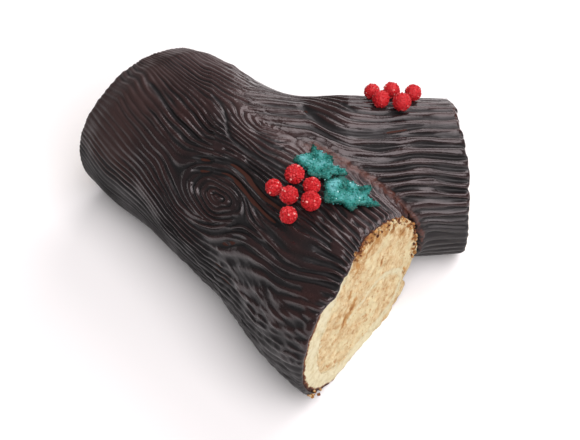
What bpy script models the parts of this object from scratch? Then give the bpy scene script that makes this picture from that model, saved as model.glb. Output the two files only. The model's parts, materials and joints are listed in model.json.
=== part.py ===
"""A yule log cake: a filled sponge roll, a shorter roll cut on the slant and set against its side as
a branch, chocolate icing combed into bark over both, and two sprigs of sugar berries and holly.

Sizes are in millimetres until the meshes are made, which are in metres. The cake stands on its flat
underside, +Z is up, the log runs along X with its bared cut end towards +X, and the branch leaves
its +Y side. The origin is under the middle of the whole cake's box.
"""

import math
from dataclasses import dataclass

import bmesh
import bpy
from mathutils import Matrix, Vector

METRE = 0.001

# Sections: the widest height and the fullness of the lower half, as shares of the height
BELLY = 0.42
LOWER_DEPTH = 1.16
LOWER_POWER = 2.2

ICING = 3.4            # thickness of the icing over the sponge
GAP = 0.3              # clearance between pieces that touch
GROOVE = 1.5           # depth of the bark grooves
GROOVE_PITCH = 5.8
GROOVE_WANDER = 2.2    # how far a groove strays sideways along its run
FOOT_FADE = 6.0        # the grooves fade out over one part in this many of the way up each side
RIM_ROUND = 3.0        # rounding of the icing at a cut rim
RIM_TURN = 1.5         # how far it turns in there, and at the log's far end
FAR_RIM_TURN = 2.25
LOG_GIRTH = 262.0
BRANCH_GIRTH = 244.0
BRANCH_START = 20.0    # where the branch's sponge begins, inside the log's side
CUTTER_OVERRUN = 2.0
BARK_FLOOR = -4.0      # the icing's rough body reaches below the floor before it is trimmed
CORE_FLOOR = -5.0
SLAB = 500.0
SLAB_DEPTH = 20.0

# Where the bark's rings stand along each roll, short of its rounded rims
LOG_RINGS = (-98.0, -80.0, -60.0, -40.0, -20.0, 0.0, 20.0, 40.0, 60.0, 78.0, 94.0)
BRANCH_RINGS = (0.0, 8.0, 20.0, 32.0, 44.0, 58.0, 76.0, 94.0, 112.0, 130.0)

CORE_STEPS = 40        # facets round a sponge roll
SWIRL_STEPS = 2        # facets between two points of the cream swirl

# The swirl of cream, seen on the log's cut end: (across, up, half thickness), from its inner tip
# out to the flap under the icing. Its last turn is thick and lies against the icing.
SWIRL = (
    (-10.0, 43.0, 0.9),
    (4.0, 46.0, 1.2),
    (17.0, 47.0, 1.3),
    (30.0, 40.0, 1.4),
    (38.5, 30.0, 1.5),
    (38.5, 19.0, 2.0),
    (26.0, 8.5, 3.2),
    (0.0, 2.0, 8.5),
    (-25.0, 3.0, 10.0),
    (-43.5, 16.5, 10.5),
    (-49.0, 42.0, 10.5),
    (-43.5, 64.0, 11.5),
    (-30.5, 81.0, 11.0),
    (-15.0, 91.5, 7.5),
    (-5.0, 97.0, 4.5),
)

# Where the branch leaves the log its far side spreads into a rounded corner of icing
FLARE_REACH = 55.0
FLARE_RATE = 0.0126
FLARE_MOST = 30.0

BERRY_FLAT = 0.72      # where a berry is pressed flat, as a share of its radius
BERRY_LIFT = 0.9       # its flat stands this far over the bark's crests, which are not quite even
BERRY_SEGMENTS = 11
BERRY_RINGS = 7
LEAF_THICKNESS = 1.8
LEAF_LIFT = 1.8        # a leaf's middle stands this far over the bark's crests

# Berries: (along, across, radius), on the roll that carries them
LOG_BERRIES = (
    (37.2, -9.5, 4.7),
    (40.8, 2.5, 5.6),
    (47.5, -7.5, 5.2),
    (53.0, 4.3, 4.9),
    (59.7, -2.5, 5.6),
    (54.9, -14.9, 4.9),
)
BRANCH_BERRIES = (
    (89.1, 13.6, 5.4),
    (100.5, 10.2, 5.8),
    (85.4, 23.4, 5.1),
    (97.0, 25.4, 5.3),
    (108.9, 21.8, 5.3),
)

# Holly leaves on the log: (along, across, turn from the log's line, tilt up the slope, length, width)
LEAVES = (
    (40.5, 21.0, 100.0, 8.0, 28.0, 26.0),
    (72.0, 17.5, 36.0, 8.0, 32.0, 27.0),
)

# A holly leaf's outline, as shares of its half length and half width: the tips of its spikes, from
# the stalk end round its right side, with hollows between them
LEAF_SPIKES = ((-1.0, 0.0), (-0.66, -0.92), (0.24, -1.0), (1.0, 0.0), (0.24, 1.0), (-0.66, 0.92))
LEAF_HOLLOW = 0.6
LEAF_STEPS = 4
LEAF_DISH = 1.4        # how far the spikes stand above the leaf's middle
LEAF_RING = 0.55       # a ring of points part of the way out


@dataclass
class Roll:
    """A roll lying on the floor. Each station is (along, right half width, left half width, top)."""

    origin: tuple
    heading: float
    ends: tuple
    end_slopes: tuple
    stations: tuple

    def at(self, along):
        """Half widths and top at a distance along the roll, eased between stations."""
        stations = self.stations
        if along <= stations[0][0]:
            return stations[0][1:]
        for before, after in zip(stations, stations[1:]):
            if along <= after[0]:
                share = (along - before[0]) / (after[0] - before[0])
                eased = share * share * (3 - 2 * share)
                return tuple(b + (a - b) * eased for b, a in zip(before[1:], after[1:]))
        return stations[-1][1:]

    def place(self, along, across, up):
        """A point in metres. The ends are cut on the slant, so across moves a point along too."""
        start, end = self.ends
        share = min(max((along - start) / (end - start), 0.0), 1.0)
        along += across * (self.end_slopes[0] + (self.end_slopes[1] - self.end_slopes[0]) * share)
        angle = math.radians(self.heading)
        x = self.origin[0] + along * math.cos(angle) - across * math.sin(angle)
        y = self.origin[1] + along * math.sin(angle) + across * math.cos(angle)
        return Vector((x, y, up)) * METRE

    def outline(self, along, turn, inset=0.0, floor=0.0, flare=0.0):
        """Across and up at a share of the way round, from the right foot over the top to the left."""
        right, left, top = self.at(along)
        left += flare
        belly = BELLY * top
        depth = LOWER_DEPTH * belly
        foot = math.asin(((belly - floor) / depth) ** (LOWER_POWER / 2))
        angle = -foot + (math.pi + 2 * foot) * turn
        half_width = right if math.cos(angle) > 0 else left
        across = abs(math.cos(angle))
        rise = math.sin(angle)
        if rise >= 0:
            up = belly + (top - inset - belly) * rise
            across *= half_width - inset
        else:
            up = belly - depth * abs(rise) ** (2 / LOWER_POWER)
            across = half_width * across ** (2 / LOWER_POWER) - inset
        return -math.copysign(across, math.cos(angle)), up


LOG = Roll(
    origin=(0.0, 0.0),
    heading=0.0,
    ends=(-101.0, 97.0),
    end_slopes=(-0.03, -0.256),
    stations=(
        (-101.0, 53.0, 50.0, 82.5),
        (-80.0, 54.5, 52.0, 90.0),
        (-35.0, 49.5, 52.0, 94.0),
        (30.0, 49.5, 52.5, 95.0),
        (60.0, 56.0, 53.5, 95.5),
        (97.0, 54.0, 54.5, 95.5),
    ),
)
BRANCH = Roll(
    origin=(-18.2, 0.0),
    heading=54.0,
    ends=(0.0, 133.0),
    end_slopes=(0.0, -0.03),
    stations=(
        (0.0, 45.5, 47.5, 91.0),
        (60.0, 45.5, 47.5, 91.0),
        (96.0, 45.5, 47.5, 86.5),
        (133.0, 45.5, 47.0, 80.5),
    ),
)


def material(name, colour, roughness):
    """A Principled material of one colour."""
    made = bpy.data.materials.new(name)
    made.use_nodes = True
    shader = made.node_tree.nodes["Principled BSDF"]
    shader.inputs["Base Color"].default_value = (*colour, 1.0)
    shader.inputs["Roughness"].default_value = roughness
    shader.inputs["Metallic"].default_value = 0.0
    return made


def collection(name):
    """A new collection in the scene."""
    made = bpy.data.collections.new(name)
    bpy.context.scene.collection.children.link(made)
    return made


def mesh_object(name, form, group):
    """An object in a collection, made from a bmesh that is freed afterwards."""
    mesh = bpy.data.meshes.new(name)
    form.to_mesh(mesh)
    form.free()
    made = bpy.data.objects.new(name, mesh)
    group.objects.link(made)
    return made


def loft(rings):
    """A closed body through rings of equal length, with a flat face at each end."""
    form = bmesh.new()
    rows = [[form.verts.new(point) for point in ring] for ring in rings]
    for row, following in zip(rows, rows[1:]):
        for i, vertex in enumerate(row):
            j = (i + 1) % len(row)
            form.faces.new((vertex, row[j], following[j], following[i]))
    form.faces.new(rows[0])
    form.faces.new(reversed(rows[-1]))
    bmesh.ops.recalc_face_normals(form, faces=form.faces)
    return form


def core_form(roll, start, grow=0.0, overrun=0.0):
    """The sponge roll's outer body. A cutter's is grown, runs past the ends and has a deep foot."""
    inner = [station[0] for station in roll.stations[1:-1] if station[0] > start + CUTTER_OVERRUN]
    places = [start - overrun, *inner, roll.ends[1] + overrun]
    rings = []
    for along in places:
        turns = [step / CORE_STEPS for step in range(CORE_STEPS + 1)]
        points = [roll.outline(along, turn, ICING - grow) for turn in turns]
        if overrun:
            points = [(points[0][0], CORE_FLOOR), *points, (points[-1][0], CORE_FLOOR)]
        rings.append([roll.place(along, *point) for point in points])
    return loft(rings)


def smooth_path(points, steps):
    """A curve through points of any dimension, with equal numbers of steps between them."""
    vectors = [Vector(point) for point in points]
    vectors = [vectors[0] * 2 - vectors[1], *vectors, vectors[-1] * 2 - vectors[-2]]
    path = []
    for a, b, c, d in zip(vectors, vectors[1:], vectors[2:], vectors[3:]):
        for step in range(steps):
            t = step / steps
            bend = (2 * a - 5 * b + 4 * c - d) * t + (3 * b - a - 3 * c + d) * t * t
            path.append(b + ((c - a) + bend) * t / 2)
    path.append(vectors[-2])
    return path


def swirl_outline(extra):
    """The swirl's closed outline on the cut end, thickened by an extra amount on each side."""
    path = smooth_path(SWIRL, SWIRL_STEPS)
    for tip, next_in in ((0, 1), (-1, -2)):
        outwards = (path[tip] - path[next_in]).normalized()
        path[tip] = path[tip] + Vector((outwards.x, outwards.y, 0.0)) * extra
    inner = []
    outer = []
    for i, point in enumerate(path):
        before = path[max(i - 1, 0)]
        after = path[min(i + 1, len(path) - 1)]
        run = Vector((after.x - before.x, after.y - before.y)).normalized()
        side = Vector((run.y, -run.x)) * (point.z + extra)
        inner.append((point.x + side.x, point.y + side.y))
        outer.append((point.x - side.x, point.y - side.y))
    return inner + outer[::-1]


def swirl_form(roll, start, extra=0.0):
    """The swirl run through and past the whole roll, scaled to the roll's section as it goes."""
    cut_right, cut_left, cut_top = LOG.at(LOG.ends[1])
    cut_width = cut_right + cut_left
    rings = []
    middle = (start + roll.ends[1]) / 2
    for along in (start - CUTTER_OVERRUN, middle, roll.ends[1] + CUTTER_OVERRUN):
        right, left, top = roll.at(along)
        wide = (right + left) / cut_width
        tall = top / cut_top
        outline = swirl_outline(extra)
        rings.append([roll.place(along, across * wide, up * tall) for across, up in outline])
    return loft(rings)


def bark_ring(roll, along, grooves, inset, flared):
    """A ring of crests and grooves, whose places stray a little from one ring to the next."""
    points = []
    spread = min(FLARE_RATE * max(FLARE_REACH - along, 0.0) ** 2, FLARE_MOST)
    flare = spread if flared else 0.0
    steps = 2 * grooves
    for step in range(steps + 1):
        share = step / steps
        stray = math.sin(0.045 * along + 9.0 * share) + 0.6 * math.sin(0.11 * along - 17.0 * share)
        fade = min(FOOT_FADE * share, FOOT_FADE * (1 - share), 1.0)
        turn = share + fade * GROOVE_WANDER * stray / (grooves * GROOVE_PITCH)
        unevenness = 1 - 0.35 * math.sin(0.07 * along + 2.3 * step)
        depth = GROOVE * fade * unevenness if step % 2 else 0.0
        points.append(roll.outline(along, turn, inset + depth, BARK_FLOOR, flare))
    return [roll.place(along, *point) for point in points]


def bark_form(roll, places, grooves, flared=False):
    """The icing's outer body. Its rim turns in slightly at each cut end."""
    rings = [bark_ring(roll, along, grooves, 0.0, flared) for along in places]
    if not flared:
        rings.insert(0, bark_ring(roll, places[0] - RIM_ROUND, grooves, FAR_RIM_TURN, flared))
    rings.append(bark_ring(roll, places[-1] + RIM_ROUND, grooves, RIM_TURN, flared))
    return loft(rings)


def boolean(target, cutter, operation):
    """A Boolean of one object with another, left on the object as a modifier."""
    cut = target.modifiers.new(operation.title(), "BOOLEAN")
    cut.operation = operation
    cut.object = cutter
    cut.solver = "EXACT"


def tool(name, form, cutters):
    """A hidden body that only cuts or joins others."""
    made = mesh_object(name, form, cutters)
    made.hide_render = True
    made.display_type = "WIRE"
    return made


def floor_form():
    """A slab under the floor line, which trims the icing flat."""
    form = bmesh.new()
    bmesh.ops.create_cube(form, size=1.0)
    bmesh.ops.scale(form, vec=Vector((SLAB, SLAB, SLAB_DEPTH)) * METRE, verts=form.verts)
    bmesh.ops.translate(form, vec=Vector((0, 0, -SLAB_DEPTH / 2)) * METRE, verts=form.verts)
    return form


def make_icing(cake, cutters, chocolate):
    """One skin of icing over both rolls, open at the cut ends and underneath.

    Returns the room it leaves for the log's sponge.
    """
    grooves = round(LOG_GIRTH / GROOVE_PITCH)
    icing = mesh_object("icing", bark_form(LOG, LOG_RINGS, grooves), cake)
    grooves = round(BRANCH_GIRTH / GROOVE_PITCH)
    branch = tool("branch_bark", bark_form(BRANCH, BRANCH_RINGS, grooves, True), cutters)
    log_core = tool("log_room", core_form(LOG, LOG.ends[0], GAP, CUTTER_OVERRUN), cutters)
    branch_core = tool("branch_room", core_form(BRANCH, BRANCH_START, GAP, CUTTER_OVERRUN), cutters)
    floor = tool("floor_trim", floor_form(), cutters)
    boolean(icing, branch, "UNION")
    boolean(icing, log_core, "DIFFERENCE")
    boolean(icing, branch_core, "DIFFERENCE")
    boolean(icing, floor, "DIFFERENCE")
    icing.data.materials.append(chocolate)
    return log_core


def make_roll(name, roll, start, looks, cake, cutters, against=None):
    """A sponge and its cream swirl. A roll set against another is trimmed to that one's side."""
    sponge = mesh_object(f"{name}_sponge", core_form(roll, start), cake)
    cream = mesh_object(f"{name}_filling", swirl_form(roll, start), cake)
    whole = tool(f"{name}_body", core_form(roll, start), cutters)
    slot = tool(f"{name}_slot", swirl_form(roll, start, GAP), cutters)
    boolean(sponge, slot, "DIFFERENCE")
    boolean(cream, whole, "INTERSECT")
    if against is not None:
        boolean(sponge, against, "DIFFERENCE")
        boolean(cream, against, "DIFFERENCE")
    sponge.data.materials.append(looks[0])
    cream.data.materials.append(looks[1])


def surface_frame(roll, along, across):
    """The icing's crest at a place on a roll: the point, and axes along, across and outwards."""
    right, left, top = roll.at(along)
    half_width = left if across > 0 else right
    belly = BELLY * top

    def crest(at_along, at_across):
        share = min(abs(at_across) / half_width, 0.99)
        return roll.place(at_along, at_across, belly + (top - belly) * math.sqrt(1 - share * share))

    here = crest(along, across)
    forward = (crest(along + 1, across) - here).normalized()
    sideways = crest(along, across + 1) - here
    outward = forward.cross(sideways).normalized()
    return here, forward, outward.cross(forward), outward


def make_berry(name, roll, along, across, radius, cake, look):
    """A sugar berry, pressed flat where it sits on the icing."""
    here, forward, sideways, outward = surface_frame(roll, along, across)
    form = bmesh.new()
    bmesh.ops.create_uvsphere(form, u_segments=BERRY_SEGMENTS, v_segments=BERRY_RINGS,
                              radius=radius * METRE)
    low = -BERRY_FLAT * radius * METRE
    geometry = [*form.verts, *form.edges, *form.faces]
    cut = bmesh.ops.bisect_plane(form, geom=geometry, plane_co=(0, 0, low), plane_no=(0, 0, -1),
                                 clear_outer=True)
    rim = [item for item in cut["geom_cut"] if isinstance(item, bmesh.types.BMEdge)]
    bmesh.ops.edgeloop_fill(form, edges=rim)
    made = mesh_object(name, form, cake)
    for face in made.data.polygons:
        face.use_smooth = True
    axes = Matrix((forward, sideways, outward)).transposed().to_4x4()
    lift = outward * (BERRY_LIFT * METRE - low)
    made.matrix_world = Matrix.Translation(here + lift) @ axes
    made.data.materials.append(look)


def leaf_outline():
    """The leaf's edge: from each spike in through a rounded hollow to the next."""
    edge = []
    count = len(LEAF_SPIKES)
    for i, spike in enumerate(LEAF_SPIKES):
        a = Vector(spike)
        b = Vector(LEAF_SPIKES[(i + 1) % count])
        hollow = (a + b) / 2 * LEAF_HOLLOW
        for step in range(LEAF_STEPS):
            t = step / LEAF_STEPS
            edge.append(a * (1 - t) ** 2 + hollow * 2 * t * (1 - t) + b * t * t)
    return edge


def make_leaf(name, along, across, turn, tilt, length, width, cake, look):
    """A stiff sugar leaf: a thin dished slab that lies on the icing at its middle."""
    here, forward, sideways, outward = surface_frame(LOG, along, across)
    form = bmesh.new()

    def vertex(point, share):
        flat = Vector((point.x * length / 2, point.y * width / 2, 0)) * share
        return form.verts.new((flat + Vector((0, 0, LEAF_DISH * (point.length * share) ** 2))) * METRE)

    rim = [vertex(point, 1.0) for point in leaf_outline()]
    ring = [vertex(point, LEAF_RING) for point in leaf_outline()]
    middle = form.verts.new((0, 0, 0))
    for i, edge in enumerate(rim):
        j = (i + 1) % len(rim)
        form.faces.new((edge, rim[j], ring[j], ring[i]))
        form.faces.new((ring[i], ring[j], middle))
    made = mesh_object(name, form, cake)
    solid = made.modifiers.new("Solidify", "SOLIDIFY")
    solid.thickness = LEAF_THICKNESS * METRE
    solid.offset = 1.0
    axes = Matrix((forward, sideways, outward)).transposed().to_4x4()
    lean = Matrix.Rotation(math.radians(tilt), 4, "X")
    spin = Matrix.Rotation(math.radians(turn), 4, "Z")
    rest = Matrix.Translation(here + outward * LEAF_LIFT * METRE)
    made.matrix_world = rest @ axes @ lean @ spin
    made.data.materials.append(look)


def stand_on_origin(cake, cutters):
    """Move everything so that the origin is under the middle of the cake's box."""
    bpy.context.view_layer.update()
    graph = bpy.context.evaluated_depsgraph_get()
    corners = []
    for made in cake.objects:
        shape = made.evaluated_get(graph)
        corners += [shape.matrix_world @ vertex.co for vertex in shape.data.vertices]
    low = [min(corner[axis] for corner in corners) for axis in range(3)]
    high = [max(corner[axis] for corner in corners) for axis in range(3)]
    shift = Vector((-(low[0] + high[0]) / 2, -(low[1] + high[1]) / 2, -low[2]))
    for made in [*cake.objects, *cutters.objects]:
        made.matrix_world = Matrix.Translation(shift) @ made.matrix_world


def main():
    for old in list(bpy.data.objects):
        bpy.data.objects.remove(old, do_unlink=True)
    cake = collection("yule_log_cake")
    cutters = collection("cutters")
    chocolate = material("chocolate_icing", (0.045, 0.025, 0.02), 0.35)
    sponge = material("sponge", (0.74, 0.49, 0.25), 0.95)
    cream = material("cream", (0.86, 0.74, 0.47), 0.8)
    berry = material("berry_sugar", (0.62, 0.02, 0.03), 0.45)
    leaf = material("leaf_sugar", (0.03, 0.36, 0.27), 0.55)

    log_room = make_icing(cake, cutters, chocolate)
    looks = (sponge, cream)
    make_roll("log", LOG, LOG.ends[0], looks, cake, cutters)
    make_roll("branch", BRANCH, BRANCH_START, looks, cake, cutters, log_room)
    for i, (along, across, radius) in enumerate(LOG_BERRIES):
        make_berry(f"log_berry_{i + 1}", LOG, along, across, radius, cake, berry)
    for i, (along, across, radius) in enumerate(BRANCH_BERRIES):
        make_berry(f"branch_berry_{i + 1}", BRANCH, along, across, radius, cake, berry)
    for i, (along, across, *pose) in enumerate(LEAVES):
        make_leaf(f"log_leaf_{i + 1}", along, across, *pose, cake, leaf)
    stand_on_origin(cake, cutters)


main()
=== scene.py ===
"""Looks of a yule log cake: combed chocolate bark over two sponge rolls, sugar berries and holly.

Lengths are in millimetres until a mesh is written, and are measured from the middle of the log's
underside. A place on a roll is given along it, across it (+ to its left) and up. The log runs along
X with its bared cut end towards +X, and the branch leaves its +Y side.
"""

import json
import math

import bpy
import numpy as np
from mathutils import Matrix, Vector


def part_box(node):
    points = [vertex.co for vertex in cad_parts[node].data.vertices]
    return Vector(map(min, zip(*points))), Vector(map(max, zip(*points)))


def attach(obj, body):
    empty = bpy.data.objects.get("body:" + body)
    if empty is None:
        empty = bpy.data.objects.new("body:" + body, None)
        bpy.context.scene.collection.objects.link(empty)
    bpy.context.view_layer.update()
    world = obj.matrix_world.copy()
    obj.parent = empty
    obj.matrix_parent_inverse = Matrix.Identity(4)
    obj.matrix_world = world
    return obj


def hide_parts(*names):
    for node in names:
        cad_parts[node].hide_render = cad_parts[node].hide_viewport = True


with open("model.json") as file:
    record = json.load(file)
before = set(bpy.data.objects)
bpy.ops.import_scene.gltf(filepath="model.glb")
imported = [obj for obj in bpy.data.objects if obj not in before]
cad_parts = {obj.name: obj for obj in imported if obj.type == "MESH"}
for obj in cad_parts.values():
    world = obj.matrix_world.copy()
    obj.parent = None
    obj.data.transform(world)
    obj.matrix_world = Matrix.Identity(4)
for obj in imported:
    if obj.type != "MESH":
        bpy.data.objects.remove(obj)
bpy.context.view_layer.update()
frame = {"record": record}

MM = 0.001
BASE = np.array(frame["record"]["mounts"][0]["pos_m"]) / MM

# Sizes -----------------------------

ICING = 3.4              # thickness of the icing
BELLY = 0.42             # the widest height of a roll, as a share of its height
LOWER_DEPTH = 1.16       # fullness of the lower half
LOWER_POWER = 2.2

MEAN_RADIUS = 52.0       # of both rolls' skins
GROOVE_DEPTH = 2.3
FILLET = 14.0            # how far out the icing is filled in where the two rolls meet
FAR_END_IN = 0.6         # how far inside the icing's rim the log's far end is
BRANCH_START = 34.0      # where the branch's sponge starts, against the log's

# The swirl of cream on a cut end: (across, up, half thickness), from its inner tip to the flap
# under the icing. Its last turn is thick and lies against the icing.
SWIRL = (
    (-10, 43, 1.2),
    (4, 46, 1.7),
    (17, 47, 1.9),
    (30, 40, 1.9),
    (38.5, 30, 1.8),
    (38.5, 19, 2.1),
    (26, 8.5, 3.2),
    (0, 2, 8.5),
    (-25, 3, 10),
    (-43.5, 16.5, 10.5),
    (-49, 42, 10.5),
    (-43.5, 64, 11.5),
    (-30.5, 81, 11),
    (-15, 91.5, 7.5),
    (-5, 97, 4.5),
)

# Toasted patches on the cut end: (across, up, half width, half height, turn)
TOASTED = (
    (-7.5, 51, 3.4, 8.5, -35),
    (-14.5, 46, 3, 6, -35),
    (-9.5, 64, 2.4, 4, 0),
    (8, 85, 6, 4, 0),
    (10, 93, 6, 3.5, 0),
    (23, 84, 4, 5, 0),
    (37.5, 67, 4.2, 6, 25),
    (29, 78, 3, 4.5, 0),
    (19, 61, 2.4, 4, -20),
    (43, 27, 2.4, 4, 0),
)

# Random relief ---------------------


def noise(x, y, z=0.0, seed=0):
    """Smooth random values from -1 to 1 that change about once in a unit."""
    spots = np.broadcast_arrays(x, y, z)
    cells = [np.floor(spot).astype(np.int64) for spot in spots]
    parts = [spot - cell for spot, cell in zip(spots, cells)]
    eased = [part * part * (3 - 2 * part) for part in parts]
    total = np.zeros(spots[0].shape)
    for corner in range(8):
        steps = (corner & 1, corner >> 1 & 1, corner >> 2)
        mixed = np.full(total.shape, 974634777 * (seed + 1), dtype=np.int64)
        weight = np.ones(total.shape)
        for cell, part, step, factor in zip(cells, eased, steps, (374761393, 668265263, 912271337)):
            mixed = mixed + (cell + step) * factor
            weight = weight * (part if step else 1 - part)
        mixed = ((mixed & 0xFFFFFFFF) ^ (mixed >> 13 & 0x7FFFF)) * 1274126177 & 0xFFFFFFFF
        mixed = mixed ^ mixed >> 16
        total += weight * ((mixed & 0xFFFF) / 32767.5 - 1)
    return total


def rise(low, high, value):
    """A smooth step from 0 at low to 1 at high."""
    share = np.clip((value - low) / (high - low), 0.0, 1.0)
    return share * share * (3 - 2 * share)


def turned(x, y, lean):
    """Places measured from axes that lean by an angle in degrees."""
    turn = math.radians(lean)
    return x * math.cos(turn) + y * math.sin(turn), y * math.cos(turn) - x * math.sin(turn)


def smooth_path(points, steps):
    """A curve through points, with equal numbers of steps between them."""
    points = np.array(points, dtype=float)
    points = np.vstack((2 * points[0] - points[1], points, 2 * points[-1] - points[-2]))
    t = np.linspace(0, 1, steps, endpoint=False)[:, None]
    path = []
    for a, b, c, d in zip(points, points[1:], points[2:], points[3:]):
        bend = (2 * a - 5 * b + 4 * c - d) * t + (3 * b - a - 3 * c + d) * t * t
        path.append(b + (c - a + bend) * t / 2)
    return np.vstack((*path, points[-2:-1]))


# Rolls -----------------------------


class Roll:
    """A roll lying on the floor. Each station is (along, right half width, left half width, top).

    Its ends are cut on the slant, so going across moves a point along too. The flare spreads the
    left side near the start, as reach, rate and most.
    """

    def __init__(self, origin, heading, ends, end_slopes, stations, flare=(0.0, 0.0, 0.0)):
        self.origin = np.array(origin)
        turn = math.radians(heading)
        self.ahead = np.array((math.cos(turn), math.sin(turn)))
        self.side = np.array((-math.sin(turn), math.cos(turn)))
        self.ends = ends
        self.slopes = end_slopes
        self.places = np.array([station[0] for station in stations])
        self.sizes = np.array([station[1:] for station in stations])
        self.flare = flare

    def at(self, along, flared=False):
        """Right and left half widths and top, at distances along the roll."""
        i = np.clip(np.searchsorted(self.places, along, side="right") - 1, 0, len(self.places) - 2)
        share = rise(self.places[i], self.places[i + 1], along)[..., None]
        right, left, top = np.moveaxis(self.sizes[i] * (1 - share) + self.sizes[i + 1] * share, -1, 0)
        if flared:
            reach, rate, most = self.flare
            left = left + np.minimum(rate * np.maximum(reach - along, 0) ** 2, most)
        return right, left, top

    def outline(self, along, turn, inset=0.0, flared=False):
        """Across and up at a share of the way round, from the right foot over the top to the left."""
        right, left, top = self.at(along, flared)
        belly = BELLY * top
        depth = LOWER_DEPTH * belly
        foot = np.arcsin((belly / depth) ** (LOWER_POWER / 2))
        angle = (math.pi + 2 * foot) * turn - foot
        wide = np.where(np.cos(angle) > 0, right, left)
        out = np.abs(np.cos(angle))
        lift = np.sin(angle)
        above = lift >= 0
        lower = np.abs(lift) ** (2 / LOWER_POWER)
        up = belly + np.where(above, (top - inset - belly) * lift, -depth * lower)
        out = np.where(above, (wide - inset) * out, wide * out ** (2 / LOWER_POWER) - inset)
        return -np.sign(np.cos(angle)) * out, np.maximum(up, 0.0)

    def place(self, along, across, up):
        """Points, with the last axis x, y and up."""
        start, end = self.ends
        share = np.clip((along - start) / (end - start), 0, 1)
        along = along + across * (self.slopes[0] + (self.slopes[1] - self.slopes[0]) * share)
        along, across, up = np.broadcast_arrays(along, across, up)
        flat = self.origin + along[..., None] * self.ahead + across[..., None] * self.side
        return np.concatenate((flat, up[..., None]), axis=-1)

    def locate(self, points):
        """Along, across and up of points: the other way round from place."""
        offset = points[..., :2] - self.origin
        across = offset @ self.side
        start, end = self.ends
        change = across * (self.slopes[1] - self.slopes[0]) / (end - start)
        along = (offset @ self.ahead - across * self.slopes[0] + change * start) / (1 + change)
        return along, across, points[..., 2]

    def round_the_skin(self, points):
        """How far round from the crest points are, + to the left."""
        along, across, up = self.locate(points)
        right, left, top = self.at(along)
        belly = BELLY * top
        tall = np.where(up > belly, top - belly, LOWER_DEPTH * belly)
        return np.arctan2(across / np.where(across < 0, right, left), (up - belly) / tall) * MEAN_RADIUS

    def outside(self, points, flared=False):
        """Roughly how far points are outside the roll's skin, negative inside it."""
        along, across, up = self.locate(points)
        right, left, top = self.at(along, flared)
        belly = BELLY * top
        above = up > belly
        tall = np.abs(up - belly) / np.where(above, top - belly, LOWER_DEPTH * belly)
        wide = np.abs(across) / np.where(across < 0, right, left)
        power = np.where(above, 2.0, LOWER_POWER)
        share = (wide ** power + tall ** power) ** (1 / power)
        return np.maximum((share - 1) * MEAN_RADIUS, self.ends[0] - along)


LOG = Roll(
    origin=(0, 0),
    heading=0,
    ends=(-101, 97),
    end_slopes=(-0.03, -0.256),
    stations=(
        (-101, 53, 50, 82.5),
        (-80, 54.5, 52, 90),
        (-35, 49.5, 52, 94),
        (14, 49.5, 52.3, 94.8),
        (76, 55.8, 53.8, 95.5),
        (97, 54, 54.5, 95.5),
    ),
)
BRANCH = Roll(
    origin=(-18.2, 0),
    heading=54,
    ends=(0, 133),
    end_slopes=(0, -0.03),
    stations=(
        (0, 45.5, 47.5, 91),
        (60, 45.5, 47.5, 91),
        (96, 45.5, 47.5, 86.5),
        (133, 45.5, 47, 80.5),
    ),
    flare=(55, 0.0126, 30),
)

# Meshes ----------------------------


def raw_points(piece):
    """A piece's vertices as they are kept, in metres for a finished piece."""
    flat = np.empty(len(piece.data.vertices) * 3)
    piece.data.vertices.foreach_get("co", flat)
    return flat.reshape(-1, 3)


def points_of(piece):
    """A piece's vertices in millimetres from the middle of the log's underside."""
    return raw_points(piece) / MM - BASE


def set_points(piece, points):
    """Move a piece's vertices."""
    piece.data.vertices.foreach_set("co", ((points + BASE) * MM).ravel())
    piece.data.update()


def set_shade(piece, name, values):
    """Keep one number for each vertex, for a material to read."""
    layer = piece.data.attributes.new(name, "FLOAT", "POINT")
    layer.data.foreach_set("value", np.asarray(values, dtype=np.float32).ravel())


def added(name, data):
    """A new object in the scene."""
    made = bpy.data.objects.new(name, data)
    bpy.context.scene.collection.objects.link(made)
    return made


def pick(*pieces):
    """Select these pieces and nothing else, with the last of them active."""
    bpy.ops.object.select_all(action="DESELECT")
    for piece in pieces:
        piece.select_set(True)
        bpy.context.view_layer.objects.active = piece


def edit(piece, *steps):
    """Run edit-mode steps on a whole piece."""
    pick(piece)
    bpy.ops.object.mode_set(mode="EDIT")
    bpy.ops.mesh.select_all(action="SELECT")
    for step in steps:
        step()
    bpy.ops.object.mode_set(mode="OBJECT")


def merge():
    bpy.ops.mesh.remove_doubles(threshold=1e-6)


def fill():
    bpy.ops.mesh.fill_holes(sides=0)


def face_outwards():
    bpy.ops.mesh.select_all(action="SELECT")
    bpy.ops.mesh.normals_make_consistent(inside=False)


def wrapped(name, points, shades=None):
    """A grid laid over rows and columns of points, closed wherever its edges meet."""
    rows, columns = points.shape[:2]
    pick()
    bpy.ops.mesh.primitive_grid_add(x_subdivisions=columns - 1, y_subdivisions=rows - 1, size=1.0)
    piece = bpy.context.active_object
    piece.name = piece.data.name = name
    flat = raw_points(piece) + 0.5
    column = np.rint(flat[:, 0] * (columns - 1)).astype(int)
    row = np.rint(flat[:, 1] * (rows - 1)).astype(int)
    set_points(piece, points[row, column])
    for shade, values in (shades or {}).items():
        set_shade(piece, shade, values[row, column])
    edit(piece, merge, fill, face_outwards)
    bpy.ops.object.shade_smooth()
    return piece


def cut(piece, cutter, operation):
    """A Boolean of a piece with a cutter, applied."""
    made = piece.modifiers.new(operation.title(), "BOOLEAN")
    made.operation = operation
    made.object = cutter
    made.solver = "EXACT"
    pick(piece)
    bpy.ops.object.modifier_apply(modifier=made.name)


def finish(piece, slot, *stands_for, look=None):
    """Ride on the cake's one body, and stand for CAD nodes."""
    if look is not None:
        piece.data.materials.clear()
        piece.data.materials.append(look)
    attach(piece, "root")
    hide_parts(*stands_for)


# Bark ------------------------------


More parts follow.
